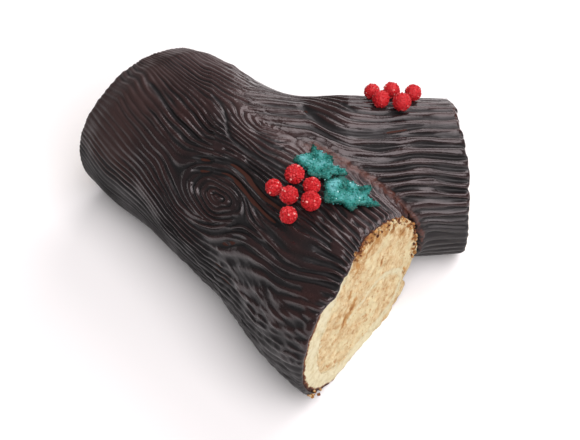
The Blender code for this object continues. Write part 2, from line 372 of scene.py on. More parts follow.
class Knot:
    """Rings in the bark round a long eye, which the other comb marks flow round.

    The knot's long way leans from the log's line. Its eye is (ahead, up the side) from its centre.
    Its rings are a pitch apart, drawn out by the stretch, and fade towards its near end.
    """

    def __init__(self, place, half_length, half_width, lean, eye, stretch, pitch, fade):
        along, around = place
        angle = around / MEAN_RADIUS
        right, left, top = LOG.at(np.array(along))
        across = (right if around < 0 else left) * math.sin(angle)
        up = BELLY * top + (1 - BELLY) * top * math.cos(angle)
        self.centre = LOG.place(np.array(along), np.array(across), up)
        self.up_side = np.array((0.0, math.cos(angle), -math.sin(angle)))
        turn = math.radians(lean)
        ahead = np.array((1.0, 0.0, 0.0))
        self.long = ahead * math.cos(turn) + self.up_side * math.sin(turn)
        self.short = self.up_side * math.cos(turn) - ahead * math.sin(turn)
        self.half_length = half_length
        self.half_width = half_width
        self.eye = eye
        self.stretch = stretch
        self.pitch = pitch
        self.fade = fade

    def reach(self, points):
        """How far out points are, 1 on the knot's edge, and how far towards its near end."""
        offset = points - self.centre
        far = offset @ self.long / self.half_length
        return np.hypot(far, offset @ self.short / self.half_width), far

    def from_eye(self, points):
        """How far out of the eye points are, and the angle round it."""
        offset = points - self.centre
        far = (offset @ self.long - self.eye[0]) / self.stretch
        wide = offset @ self.short - self.eye[1]
        return np.hypot(far, wide), np.arctan2(wide, far)


KNOTS = (
    Knot((5, -37), 24, 13.5, 12, (5, 1.5), 1.9, 2.6, (0.7, 1)),
    Knot((2, 18), 18, 10, 15, (-1.5, -1), 1.9, 2.5, (0.9, 1.2)),
)

# Deep strokes of the comb on the log: (half width, depth), then places (along, around)
STROKES = (
    ((1.9, 1.5), ((-20, -28), (-10, -23), (-2.5, -18.5), (3, -15), (12, -14),
                  (21, -15), (32, -16), (44, -14), (58, -11))),
    ((1.7, 1.4), ((-15, -34), (-7, -28.5), (0.5, -24), (6, -21), (12, -20.5),
                  (20, -21), (28, -22), (42, -22), (60, -18.5))),
    ((1.1, 0.75), ((-78, -9), (-66, -11), (-55, -14), (-42, -17), (-29, -17),
                   (-20, -18))),
    ((1.2, 0.8), ((-42, 7), (-33, 7.5), (-23, 5), (-15, 0), (-8, -4),
                  (2, -4), (13, -2), (24, 1), (34, 5))),
)

BRANCH_STROKES = (
    ((2.2, 1.1), ((44, 22), (47, 12), (51, 4), (56, -3), (62, -7.5), (72, -10),
                  (84, -9), (98, -6), (116, -2))),
    ((1.5, 0.8), ((66, 21), (70, 14), (77, 9), (88, 7), (104, 8))),
)

# Flat smears of the knife on the log: (along, around, half length, half width, lean)
SMEARS = (
    (-18, 31, 16, 8, 0),
    (64, -3.5, 6, 2.7, -8),
    (72, 3, 5, 1.8, -18),
    (76.5, -3.5, 6, 2.2, -16),
    (81, 8, 4.5, 1.7, -24),
    (85, 0.5, 5, 1.9, -24),
    (87, -9, 5.5, 3, -8),
    (91, 6.5, 4, 1.6, -28),
    (88, -34, 6, 4, 10),
    (-9, -13, 5, 2, 20),
    (6, -8.5, 5, 1.8, 10),
)


def combed(lines, run, pitch, sharpness, rough, seed):
    """Grooves along lines of equal value: 0 on a crest, up to about 1 in a groove's floor."""
    phase = lines / pitch + 0.2 * noise(lines / (2.3 * pitch), run / 22, 0.0, seed)
    phase = phase + 0.08 * rough * noise(np.rint(phase) * 0.83, run / 7, 0.0, seed + 4)
    nearest = np.rint(phase)
    strength = 0.78 + 0.5 * noise(nearest * 0.73, run / 14, 0.0, seed + 1)
    keen = sharpness * 2.0 ** noise(nearest * 0.61, run / 12, 3.0, seed + 2)
    groove = (0.5 + 0.5 * np.cos(2 * math.pi * (phase - nearest))) ** keen
    ridge = np.floor(phase)
    crest = 0.15 * noise(ridge * 0.57 + 0.3, run / 5.5, 0.0, seed + 3)
    crest = crest + 0.12 * noise(ridge * 0.67, run / 15, 0.0, seed + 6)
    fine = 0.08 * noise(lines / (0.28 * pitch), run / 9, 0.0, seed + 5)
    return np.clip(strength, 0.15, 1.15) * groove + rough * (crest + fine) * (1 - groove)


def stroke(run, around, places):
    """How far places on the log are from a mark drawn along a chain, and how strong it is there."""
    nearest = np.full(run.shape, 1e9)
    share = np.zeros(run.shape)
    places = smooth_path(places, 4)
    for i, (a, b) in enumerate(zip(places, places[1:])):
        step = b - a
        t = np.clip(((run - a[0]) * step[0] + (around - a[1]) * step[1]) / (step @ step), 0, 1)
        gap = np.hypot(run - a[0] - t * step[0], around - a[1] - t * step[1])
        closer = gap < nearest
        nearest = np.where(closer, gap, nearest)
        share = np.where(closer, (i + t) / (len(places) - 1), share)
    return nearest, rise(0.0, 0.1, share) * rise(1.0, 0.88, share)


def struck(depth, run, around, strokes):
    """Depth with single deep marks drawn through it, clear of other marks on both sides."""
    for (half_width, deep), places in strokes:
        gap, strength = stroke(run, around, places)
        mark = strength * np.exp(-(gap / half_width) ** 2)
        depth = depth * (1 - 0.6 * strength * np.exp(-(gap / half_width / 1.5) ** 2)) + deep * mark
    return depth


def log_lines(points, run, around):
    """Values whose equal lines the log's comb follows, and where they spread behind the knots."""
    even = rise(10, 40, run)
    lines = around + (2.6 - 1.2 * even) * noise(run / 36, around / 30, 0.0, 10)
    lines += (0.8 - 0.3 * even) * noise(run / 12, around / 14, 0.0, 11)
    slope = 0.17 - 0.25 * rise(-8, 14, around) + 0.05 * rise(-50, -70, around)
    lines += slope * np.minimum(run + 20, 0)
    lines -= 8 * rise(-28, 14, run) * rise(-62, -42, around) * rise(4, -12, around)
    lines -= 0.2 * np.maximum(run - 14, 0) + 0.12 * np.maximum(run - 70, 0)
    lines += 0.3 * np.maximum(run - 68, 0) * rise(-20, -2, around)
    wake = np.zeros(run.shape)
    for knot in KNOTS:
        reach, far = knot.reach(points)
        lines -= (points - knot.centre) @ knot.up_side / np.maximum(reach, 0.8) ** 2.3
        wake = np.maximum(wake, rise(2.1, 1.3, reach) * rise(0.6, 0.85, far / np.maximum(reach, 0.01)))
    return lines, wake


def ringed(depth, points):
    """Depth with the knots' rings over it."""
    for i, knot in enumerate(KNOTS):
        reach, far = knot.reach(points)
        gap, angle = knot.from_eye(points)
        gap = gap + 1.1 * noise(1.6 * np.cos(angle), 1.6 * np.sin(angle), gap / 9, 20 + i) + 0.6
        ring = combed(gap, 9 * angle, knot.pitch, 0.9, 0.9, 21 + i)
        inside = rise(1.04, 0.84, reach) * rise(knot.fade[1], knot.fade[0], far)
        depth = depth * (1 - inside) + 0.6 * ring * inside
    return depth


def smeared(depth, run, around):
    """Depth with the knife's flat smears wiped over it."""
    rough = 0.2 * noise(run / 4, around / 4, 0.0, 16)
    for along, middle, half_length, half_width, lean in SMEARS:
        far, wide = turned(run - along, around - middle, lean)
        reach = np.hypot(far / half_length, wide / half_width) + rough
        depth = depth + (0.12 - 0.82 * depth) * rise(1.15, 0.75, reach)
    return depth


def log_bark(points):
    """Depth of the log's grooves at points near its skin."""
    run = LOG.locate(points)[0]
    around = LOG.round_the_skin(points)
    lines, wake = log_lines(points, run, around)
    near = rise(-8, 14, run + 6 * noise(around / 9, 0.0, 0.0, 12)) * rise(-68, -52, around)
    depth = 0.75 * combed(lines, run, 4.0, 1.3, 1.2, 1) * (1 - near)
    depth = depth + combed(lines, run, 4.8, 0.8, 1.2, 6) * near
    depth = depth * (1 - wake) + 0.8 * combed(lines, run, 2.3, 0.9, 1.0, 17) * wake
    depth = depth * (1 - 0.45 * rise(-62, -92, run))
    depth = depth * (1 - 0.45 * rise(-5, -35, around) * rise(-18, -45, run))
    flank = rise(-40, -50, around - 0.25 * (run - 60) + 4 * noise(run / 9, around / 9, 0.0, 13))
    flank = flank * rise(-20, 14, run)
    chopped = 0.2 * noise(run / 5, around / 1.9, 0.0, 14) + 0.25 * noise(run / 9, around / 5, 0.0, 15)
    depth = depth * (1 - flank * (0.25 + 0.35 * rise(48, 64, run))) + (chopped + 0.2) * flank
    return smeared(struck(ringed(depth, points), run, around, STROKES), run, around)


def branch_bark(points):
    """Depth of the branch's broader grooves, which bend where they come off the log."""
    run = BRANCH.locate(points)[0]
    around = BRANCH.round_the_skin(points)
    lines = around + 1.3 * noise(run / 40, around / 30, 0.0, 110)
    lines += 0.5 * noise(run / 14, around / 12, 0.0, 111)
    lines -= 22 * rise(72, 44, run) * rise(-62, 14, around)
    lines -= 9 * rise(75, 135, run) * rise(-45, 10, around)
    pitch = 1 + 0.14 * rise(10, -40, around)
    broad = combed(lines * pitch, run, 7.4, 1.7, 0.45, 107)
    thin = combed(lines * pitch + 1.8, run, 3.7, 2.5, 0.5, 117)
    share = 0.25 * rise(0.1, 0.7, noise(run / 18, around / 9, 0.0, 118))
    depth = (broad * (1 - share) + thin * share) * (1 - 0.35 * rise(-45, -62, around))
    return struck(depth, run, around, BRANCH_STROKES)


def bark(points, gap):
    """Groove depth where the two rolls' skins may meet; the gap is how much nearer the log's is."""
    share = rise(5.0, -5.0, gap)
    depth = np.zeros(gap.shape)
    on_log = share < 1
    on_branch = share > 0
    depth[on_log] += log_bark(points[on_log]) * (1 - share[on_log])
    depth[on_branch] += branch_bark(points[on_branch]) * share[on_branch]
    meeting = np.exp(-(gap / 9) ** 2) * rise(70, 90, points[..., 2])
    return depth * (1 - 0.35 * meeting)


def slope_of(roll, points, flared):
    """The direction straight out of a roll's skin, near it."""
    here = roll.outside(points, flared)
    steps = np.eye(3) * 0.4
    out = np.stack([roll.outside(points + step, flared) - here for step in steps], axis=-1)
    return out / np.maximum(np.linalg.norm(out, axis=-1, keepdims=True), 1e-9)


def tucked(along, turn):
    """Where the icing is pressed in and the bared crumb swells out: the cut's left, less on its top."""
    over = 0.5 * rise(92, 96.5, along) * rise(0.49, 0.53, turn) * rise(0.74, 0.66, turn)
    return over + rise(84, 95, along) * rise(0.66, 0.74, turn)


def humps(turn, *each):
    """Humps round a roll, each (height, place, width)."""
    return sum(height * np.exp(-((turn - place) / width) ** 2) for height, place, width in each)


# The icing's turned-in rim: (out past a roll's end, in from its face)
RIM = ((1.3, 0.3), (2.2, 0.9), (2.8, 1.7), (3.0, 2.5), (2.7, 3.2))
RIM_DEPTH = 3.2


def skin_rows(along):
    """Rows round a skin, as columns: place along, how far in, and share of the outer relief."""
    inner = np.linspace(along[-1] - 4, along[0] + 4, 5)
    rows = [(spot, 0.0, 1.0) for spot in along]
    rows += [(along[-1] + out, inset, 1 - inset / RIM_DEPTH) for out, inset in RIM]
    rows += [(spot, RIM_DEPTH, 0.0) for spot in inner]
    rows += [(along[0] - out, inset, 1 - inset / RIM_DEPTH) for out, inset in reversed(RIM)]
    rows.append(rows[0])
    return (np.array(column)[:, None] for column in zip(*rows))


def settle(points, outward, bare, other, flared):
    """How far out a skin moves so that the two rolls' skins meet smoothly, and how clear it then is."""
    shift = np.zeros(points.shape[:2])
    for _ in range(5):
        away = other.outside(points + outward * shift[..., None], not flared)
        near = np.maximum(FILLET - np.abs(away - shift), 0)
        shift = shift - np.clip(np.minimum(shift, away) - near ** 2 / (4 * FILLET), -3, 3) * bare
        shift = np.clip(shift, -8, 8)
    return shift, other.outside(points + outward * shift[..., None], not flared)


def skin(name, roll, along, turn, other, look):
    """A skin of icing round a roll: outer face, turned-in rims at both ends, and inner face."""
    flared = roll is BRANCH
    run, inset, bare = skin_rows(along)
    ragged = noise(turn * 30, 0.0, 0.0, 30 + flared) + 0.6 * noise(turn * 90, 0.0, 0.0, 32 + flared)
    run = run + np.minimum(inset, 1.0) * 0.6 * ragged * np.where(run > 0, 1, -1)
    if not flared:
        tuck = tucked(run, turn)
        lip = humps(turn, (3.6, 0.40, 0.028), (1.3, 0.45, 0.02), (-1.6, 0.515, 0.04))
        lip = lip - 4.5 * rise(0.06, 0.02, turn)
        run = run - 2.6 * tuck + lip * rise(86, 95, run)
        inset = np.maximum(inset, 2.4 * tuck)
    across, up = roll.outline(run, turn[None, :], inset, flared)
    points = roll.place(run, across, up)
    outward = slope_of(roll, points, flared)
    shift, away = settle(points, outward, bare, other, flared)
    gap = away - shift
    surface = points + outward * np.maximum(shift, 0)[..., None]
    share = np.clip(0.5 - 0.5 * gap / FILLET, 0, 1)[..., None]
    normal = outward * (1 - share) + slope_of(other, surface, not flared) * share
    normal /= np.linalg.norm(normal, axis=-1, keepdims=True)

    foot = rise(0.0, 9.0, surface[..., 2]) * bare
    depth = bark(surface, -gap if flared else gap) * foot
    rim = rise(2.2, 0.0, np.abs(run - along[-1] - 1.5)) * (0.25 + 0.65 * rise(0.42, 0.5, turn))
    seam = np.exp(-(gap / 5.0) ** 2) * rise(14, 26, surface[..., 0]) * rise(10, 40, surface[..., 2])
    crumbs = np.maximum(rim, seam) * bare
    spots = np.moveaxis(surface, -1, 0)
    grain = 0.4 * noise(*(spots / 1.7), 41) + 0.3 * noise(*(spots / 3.91), 42)
    depth = depth * (1 - 0.85 * seam) + crumbs * grain
    swell = 0.4 * noise(*(spots / 16), 40) * foot
    points = surface + normal * (swell - GROOVE_DEPTH * depth)[..., None]
    buried = np.clip(-gap - 0.6, 0, 8) * bare
    points = points - outward * (0.9 * buried)[..., None]
    points[..., 2] = np.maximum(points[..., 2], 4.0 * rise(2.0, 6.0, -away) * (away < 0))
    # Painted shade: the low sides of both rolls, below about 66 mm, are added to the groove shade so
    # that their colour is darkened as if in shade.
    low = 0.8 * rise(66, 30, surface[..., 2])
    shades = {
        # Painted shade: the groove shade darkens the chocolate's colour in the grooves' depth, where
        # shade falls, and on the low sides.
        "groove": depth + low,
        "crumbs": crumbs,
        "dull": 0.6 * seam if flared else np.maximum(0.6 * seam, rise(-35, -85, run)),
        # Painted sheen: the log's crest and its left side are painted lighter and redder, where the
        # light falls on them.
        "painted_sheen": np.zeros_like(low) if flared else rise(-12, 24, LOG.round_the_skin(surface)),
    }
    finish(wrapped(name, points, shades), "chocolate_icing", "icing", look=look)


def spaced(*stretches):
    """Places along a roll, from (start, step) to the next start."""
    places = []
    for (start, step), (stop, _) in zip(stretches, stretches[1:]):
        places += list(np.linspace(start, stop, round((stop - start) / step), endpoint=False))
    return np.array([*places, stretches[-1][0]])


def turns(fine_from, fine_to, count, share):
    """Shares of the way round, with most of them where the comb marks show best."""
    shares = np.linspace(0, 1, count)
    return np.interp(shares, (0, share[0], share[1], 1), (0, fine_from, fine_to, 1))


def make_icing(look):
    """The bark of the log and of its branch."""
    along = spaced((-97.4, 1.4), (-24.0, 0.85), (38.0, 1.4), (94.0, 0))
    skin("log_bark", LOG, along, turns(0.1, 0.62, 501, (0.08, 0.7)), BRANCH, look)
    along = spaced((6.0, 1.2), (130.0, 0))
    skin("branch_bark", BRANCH, along, turns(0.1, 0.64, 481, (0.08, 0.72)), LOG, look)


# Sponge and cream ------------------


def swirl_scale(roll, along):
    """How many times as wide and as tall the swirl is there as on the log's cut."""
    cut_right, cut_left, cut_top = LOG.at(np.array(LOG.ends[1]))
    right, left, top = roll.at(along)
    return (right + left) / (cut_right + cut_left), top / cut_top


def swirl_cutter(roll, start):
    """The cream's swirl, run through and past a roll and scaled to it."""
    path = smooth_path(SWIRL, 24)
    run = np.gradient(path[:, :2], axis=0)
    run /= np.linalg.norm(run, axis=1, keepdims=True)
    away = np.stack((run[:, 1], -run[:, 0]), axis=1) * path[:, 2:]
    loop = np.vstack((path[:, :2] + away, (path[:, :2] - away)[::-1]))
    rough = [noise(loop[:, 0] / 2.2, loop[:, 1] / 2.2, 0.0, 54 + i) for i in range(2)]
    loop = loop + 0.6 * np.stack(rough, axis=1)
    loop = np.vstack((loop, loop[:1]))
    rings = []
    for along in np.linspace(start - 3, roll.ends[1] + 3, 3):
        wide, tall = swirl_scale(roll, np.array(along))
        rings.append(roll.place(np.array(along), loop[:, 0] * wide, loop[:, 1] * tall))
    return wrapped("swirl_cutter", np.array(rings))


def bulge(along, turn):
    """How much further out the crumb comes where the log's icing is pressed in."""
    uneven = 1.1 * noise(turn * 15, 0.0, 0.0, 57) + 0.8 * noise(turn * 47, 0.0, 0.0, 58)
    corner = humps(turn, (2.6, 0.825, 0.02), (-7.5, 0.882, 0.025))
    return tucked(along, turn) * (1.8 + uneven + corner)


def sponge_body(name, roll, start, rings, around):
    """A roll of cake in its icing, with fine rings on its cut ends."""
    arch = round(around * 0.8)
    turn = np.linspace(0, 1, arch)
    shares = np.linspace(0, 1, rings + 1)
    near_cut = roll.ends[1] - np.array((12, 8, 5, 2.5, 0))
    wall = np.concatenate((np.linspace(start, roll.ends[1] - 16, 6), near_cut))
    stops = [(start, share) for share in shares[:-1]]
    stops += [(spot, 1.0) for spot in wall]
    stops += [(roll.ends[1], share) for share in shares[-2::-1]]
    rows = []
    for along, share in stops:
        along = np.array(along)
        across, up = roll.outline(along, turn, ICING - 0.5 - (bulge(along, turn) if roll is LOG else 0))
        floor = np.linspace(across[-1], across[0], around - arch + 2)[1:]
        across = np.concatenate((across, floor))
        up = np.concatenate((up, np.zeros(len(floor))))
        heart = roll.at(along)[2] * 0.47
        rows.append(roll.place(along, across * share, heart + (up - heart) * share))
    return wrapped(name, np.array(rows))


def from_icing(roll, along, across, up):
    """How far in from its icing places on a roll's cut are."""
    right, left, top = roll.at(along)
    wide = np.where(across < 0, right, left) - ICING
    belly = BELLY * top
    tall = np.where(up > belly, top - ICING - belly, LOWER_DEPTH * belly)
    inside = (1 - np.sqrt((across / wide) ** 2 + ((up - belly) / tall) ** 2)) * 48
    inside = np.minimum(inside, up + 1.0)
    if roll is LOG:
        angle = np.arctan2((up - belly) / tall, -across / wide)
        angle = np.where(angle < -math.pi / 2, angle + 2 * math.pi, angle)
        foot = math.asin(LOWER_DEPTH ** (-LOWER_POWER / 2))
        inside = inside + 7 * tucked(along, (angle + foot) / (math.pi + 2 * foot))
    return inside


def cream_gap(roll, along, across, up):
    """How far places in a roll are outside its cream, negative inside it."""
    wide, tall = swirl_scale(roll, along)
    gap = np.full(across.shape, 1e9)
    for middle, height, half in smooth_path(SWIRL, 10):
        gap = np.minimum(gap, np.hypot(across / wide - middle, up / tall - height) - half)
    return gap


def toasting(across, up, broad):
    """How browned places on a cut are: in patches, and more towards the top."""
    toast = 0.58 * rise(66, 90, up + 12 * broad)
    for centre, height, half_width, half_height, lean in TOASTED:
        far, high = turned(across - centre, up - height, lean)
        toast = np.maximum(toast, np.exp(-(far / half_width) ** 2 - (high / half_height) ** 2))
    return toast


def crumble(piece, roll, ends, amount, seed):
    """Open crumb on the cut ends, and shades for its browned edge, the cream and toasted patches."""
    along, across, up = roll.locate(points_of(piece))
    inside = from_icing(roll, along, across, up)
    fine = noise(across / 1.5, up / 1.5, along / 1.5, seed)
    crumb = noise(across / 3.4, up / 3.4, along / 3.4, seed + 1)
    broad = noise(across / 15, up / 15, 0.0, seed + 2)
    relief = amount * (0.35 * fine + 0.5 * crumb - 0.5 * np.maximum(crumb + fine - 0.5, 0)) + 0.5 * broad
    relief = relief - 0.9 * np.exp(-np.maximum(inside, 0) / 1.2)
    for end, sign in ends:
        along = np.where(np.abs(along - end) < 0.3, along + sign * relief, along)
    across = across * (1 + rise(3.0, 0.0, inside) * 0.35 * (fine + crumb) / 50)
    set_points(piece, roll.place(along, across, up))
    set_shade(piece, "edge", inside)
    set_shade(piece, "cream", np.clip(cream_gap(roll, along, across, up), -9, 9))
    set_shade(piece, "toast", toasting(across, up, broad))


def make_roll(name, roll, start, ends, rings, sponge_look, cream_look, rng):
    """One roll's sponge, and the cream swirl that runs through it."""
    sponge = sponge_body(f"{name}_crumb", roll, start, rings, 280)
    pick(sponge)
    bpy.ops.object.duplicate()
    cream = bpy.context.active_object
    cream.name = cream.data.name = f"{name}_cream"
    swirl = swirl_cutter(roll, start)
    cut(sponge, swirl, "DIFFERENCE")
    cut(cream, swirl, "INTERSECT")
    bpy.data.objects.remove(swirl, do_unlink=True)
    crumble(sponge, roll, ends, 1.9, 50)
    crumble(cream, roll, ends, 1.1, 60)
    if roll is LOG:
        loose_crumbs(sponge, sponge_look, rng)
    finish(sponge, "sponge", f"{name}_sponge", look=sponge_look)
    finish(cream, "cream", f"{name}_filling", look=cream_look)


# Sugar berries and leaves ----------


def grains_on(places, normals, sizes, rng):
    """Sugar crystals on a surface: one small block, copied, turned and joined as arrays."""
    pick()
    bpy.ops.mesh.primitive_cube_add(size=1.0)
    block = bpy.context.active_object
    edit(block, lambda: bpy.ops.mesh.bevel(offset=0.18, segments=1, affect="VERTICES"))
    corners = raw_points(block)
    faces = [tuple(face.vertices) for face in block.data.polygons]
    bpy.data.objects.remove(block, do_unlink=True)
    points = []
    sides = []
    for i, (place, normal, size) in enumerate(zip(places, normals, sizes)):
        spin = np.linalg.qr(rng.normal(size=(3, 3)))[0]
        if np.linalg.det(spin) < 0:
            spin[:, 0] *= -1
        stretch = rng.uniform(0.7, 1.25, 3)
        points.append(place + normal * size * 0.1 + (corners * stretch * size) @ spin.T)
        sides += [tuple(corner + i * len(corners) for corner in face) for face in faces]
    return np.vstack(points), sides, len(corners)


def scatter(piece, places, normals, sizes, look, rng, shades):
    """Join small blocks onto a piece, each with its own shades."""
    points, sides, count = grains_on(places, normals, sizes, rng)
    mesh = bpy.data.meshes.new(f"{piece.name}_grains")
    mesh.from_pydata(((points + BASE) * MM).tolist(), [], sides)
    coat = added(f"{piece.name}_grains", mesh)
    for name, values in shades.items():
        set_shade(coat, name, np.repeat(values, count))
    coat.data.materials.append(look)
    pick(coat, piece)
    bpy.ops.object.join()


def sugar(piece, places, normals, sizes, look, rng, tones, spread):
    """Coat a piece with crystals whose shades are spread about the tones there."""
    shade = np.clip(tones + spread * rng.uniform(-0.5, 0.5, len(places)), 0, 0.95)
    # A few crystals are made pale: partly the sugar's own paleness, partly painted glints.
    shade[rng.uniform(0, 1, len(places)) < 0.02] = 1.0
    scatter(piece, places, normals, sizes, look, rng, {"grain": shade})


def loose_crumbs(piece, look, rng):
    """Browned crumbs torn loose along the top of the log's cut and at its right foot."""
    turn = np.concatenate((rng.uniform(0.48, 0.83, 150), rng.uniform(0.05, 0.11, 16)))
    along = LOG.ends[1] + rng.uniform(-1.0, 1.0, len(turn))
    deep = 1.2 + rng.uniform(0.0, 1.0, len(turn)) ** 2 * 4.0
    across, up = LOG.outline(along, turn, deep)
    places = LOG.place(along, across, np.maximum(up, 1.2))
    shades = {"edge": rng.uniform(0.6, 3.4, len(turn)), "toast": rng.uniform(0.4, 1.2, len(turn)),
              "cream": np.full(len(turn), 9.0)}
    scatter(piece, places, np.zeros_like(places), rng.uniform(0.5, 1.5, len(turn)), look, rng, shades)


BERRY_COAT = 0.35        # how far a berry stays inside its CAD node, for its crystals
BERRY_SINK = 0.4         # how far it is pressed into the grooves


def make_berry(node, look, grain_look, rng, grains, grain_size):
    """A bumpy sugared berry in its CAD node's place."""
    low, high = (np.array(corner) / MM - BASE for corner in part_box(node))
    radius = max(high[0] - low[0], high[1] - low[1]) / 2
    centre = np.array(((low[0] + high[0]) / 2, (low[1] + high[1]) / 2, high[2] - radius))
    radius -= BERRY_COAT
    centre[2] -= BERRY_SINK
    pick()
    bpy.ops.mesh.primitive_ico_sphere_add(subdivisions=5, radius=1.0)
    piece = bpy.context.active_object
    piece.name = piece.data.name = f"{node}_sugared"
    flat = raw_points(piece)
    shift = rng.uniform(0, 90)
    lumps = noise(flat[:, 0] * 3.1 + shift, flat[:, 1] * 3.1, flat[:, 2] * 3.1, 70)
    fine = noise(flat[:, 0] * 8 + shift, flat[:, 1] * 8, flat[:, 2] * 8, 71)
    size = radius * (0.93 + 0.035 * lumps + 0.02 * fine)
    set_points(piece, centre + flat * size[:, None])
    piece.data.materials.append(look)
    bpy.ops.object.shade_smooth()
    ways = rng.normal(size=(grains, 3))
    ways /= np.linalg.norm(ways, axis=1, keepdims=True)
    sizes = rng.uniform(0.6, 1.25, grains) * grain_size
    set_shade(piece, "grain", np.full(len(flat), 0.55))
    sugar(piece, centre + ways * radius * 0.94, ways, sizes, grain_look, rng, 0.6, 0.6)
    finish(piece, "berry_sugar", node)


# Holly leaves: (along, across) on the log, then the outline round the leaf in its own plane,
# (towards the cut, to the log's left), tips and the hollows between them
LEAVES = {
    "log_leaf_1": ((40.5, 21), (
        (-5.4, -13.7), (-6.8, -5.5), (-7.6, 1.5), (-11.5, 6.7), (-7.4, 6.6), (-4.6, 7.4), (-1.2, 12.4),
        (3, 8), (8, 5), (12, 9), (16.5, 7), (14.5, 1.5), (13.5, -2.5), (17, -7.5),
        (12.4, -9.6), (8.5, -14.3), (3.3, -11), (-0.9, -12))),
    "log_leaf_2": ((70, 18.5), (
        (-12.5, -7.5), (-8.4, -10.4), (-2, -17.2), (1.6, -15.5), (4.2, -9.8), (11.7, -9.2),
        (9.8, -3.1), (12, 2), (16, 7.4), (10.4, 7.6), (5.5, 8.8), (-0.5, 16.5), (-2.2, 9.6),
        (-8, 7.4), (-12.5, 4))),
}
LEAF_THICKNESS = 2.8
LEAF_LIFT = 0.9


def crest_frame(roll, along, across):
    """The bark's crest at a place, and axes along, across and out of it."""

    def crest(at_along, at_across):
        right, left, top = roll.at(np.array(at_along))
        share = at_across / (left if at_across > 0 else right)
        up = BELLY * top + (1 - BELLY) * top * math.sqrt(1 - share ** 2)
        return roll.place(np.array(at_along), np.array(at_across), up)

    here = crest(along, across)
    forward = crest(along + 1.0, across) - here
    forward /= np.linalg.norm(forward)
    outward = np.cross(forward, crest(along, across + 1.0) - here)
    outward /= np.linalg.norm(outward)
    return here, forward, np.cross(outward, forward), outward


def make_leaf(node, place, outline, look, grain_look, rng):
    """A thick, lumpy sugared holly leaf that sags round the log, its tips curling up."""
    along, across = place
    edge = np.array((*outline[-1:], *outline, *outline[:2]))
    edge = smooth_path(edge, 9)[9:-9]
    middle = edge.mean(axis=0)
    shares = np.linspace(0, 1, 17)
    rows = []
    tones = []
    for side, share in [(1, s) for s in shares] + [(-1, s) for s in shares[-2::-1]]:
        flat = middle + (edge - middle) * share
        out = np.linalg.norm(flat - middle, axis=1) / 16
        half = LEAF_THICKNESS / 2 * (1 - share ** 4) ** 0.5
        lumps = 1.25 * noise(flat[:, 0] / 4.2, flat[:, 1] / 4.2, side * 1.0, 80)
        lumps = lumps + 0.5 * noise(flat[:, 0] / 1.8, flat[:, 1] / 1.8, side * 1.0, 81)
        lumps = lumps + 0.7 * np.exp(-((share - 0.78) / 0.13) ** 2) - 0.6
        # Painted light and shade: the tone is lighter on lumps and on the raised roll near the rim, and
        # darker in hollows and towards the very edge.
        tones.append(0.62 + 0.3 * lumps - 0.4 * share ** 6)
        lift = 1.6 * out ** 3 - flat[:, 1] ** 2 / 150 + side * half + (1 - share ** 4) ** 0.5 * lumps
        rows.append(np.stack((flat[:, 0], flat[:, 1], lift + LEAF_THICKNESS / 2), axis=1))
    shape = np.array(rows)
    here, forward, sideways, outward = crest_frame(LOG, along, across)
    axes = np.array((forward, sideways, outward))
    # The grain shade holds the leaf's painted light and shade.
    shades = {"grain": np.clip(np.array(tones), 0, 0.95)}
    piece = wrapped(f"{node}_sugared", here + outward * LEAF_LIFT + shape @ axes, shades)
    piece.data.materials.append(look)
    mesh = piece.data
    areas = np.array([face.area for face in mesh.polygons])
    picks = rng.choice(len(areas), 1100, p=areas / areas.sum())
    # Each crystal takes the painted light and shade of the leaf under it.
    under = [mesh.attributes["grain"].data[mesh.polygons[i].vertices[0]].value for i in picks]
    centres = np.array([mesh.polygons[i].center[:] for i in picks]) / MM - BASE
    normals = np.array([mesh.polygons[i].normal[:] for i in picks])
    centres = centres + rng.normal(size=centres.shape) * 0.3
    sizes = rng.uniform(0.35, 0.8, len(picks))
    sugar(piece, centres, normals, sizes, grain_look, rng, np.array(under), 0.45)
    finish(piece, "leaf_sugar", node)


# Materials -------------------------


